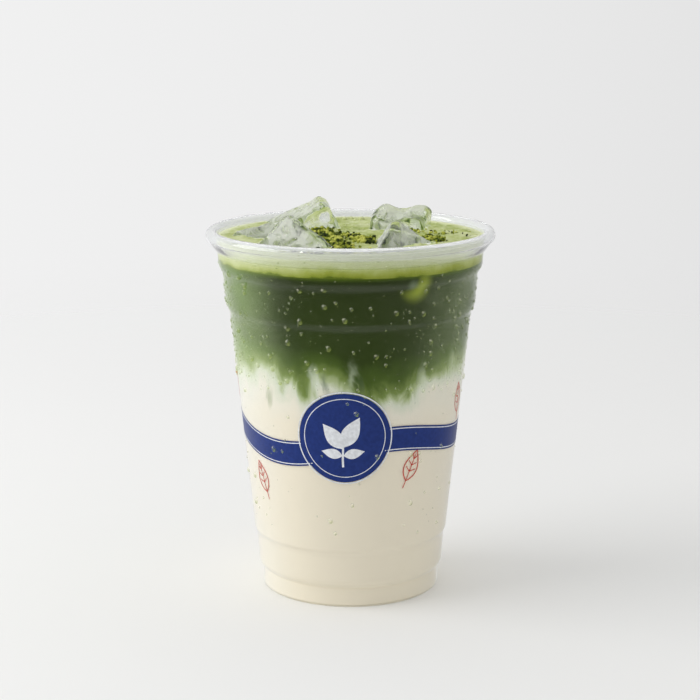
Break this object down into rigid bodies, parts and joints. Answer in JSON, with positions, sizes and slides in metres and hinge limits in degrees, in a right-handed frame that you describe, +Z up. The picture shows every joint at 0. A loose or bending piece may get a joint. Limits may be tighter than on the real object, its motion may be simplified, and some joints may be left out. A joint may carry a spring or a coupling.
{
  "type": "iced matcha latte in a clear plastic cup",
  "caption": "Clear tapered takeaway cup with a rolled rim, filled with milk below green matcha and pale foam, with ice cubes standing out of the top.",
  "frame": {"origin": "centre of the cup's foot, on the surface that it stands on", "axes": "+Z up along the cup's axis; -Y is the front, the side that the print's round mark is on"},
  "size_m": [0.098, 0.098, 0.1316],
  "materials": {
    "cup": "gloss",
    "milk": "gloss",
    "matcha": "gloss",
    "foam": "satin",
    "ice": "gloss",
    "powder": "matte",
    "condensation": "gloss",
    "print_navy": "satin",
    "print_white": "satin",
    "print_red": "satin"
  },
  "bodies": {
    "root": {"cup": "cup", "milk": "milk", "matcha": "matcha", "foam": "foam", "ice_1": "ice", "ice_2": "ice", "ice_3": "ice", "ice_4": "ice", "ice_5": "ice"}
  },
  "joints": []
}
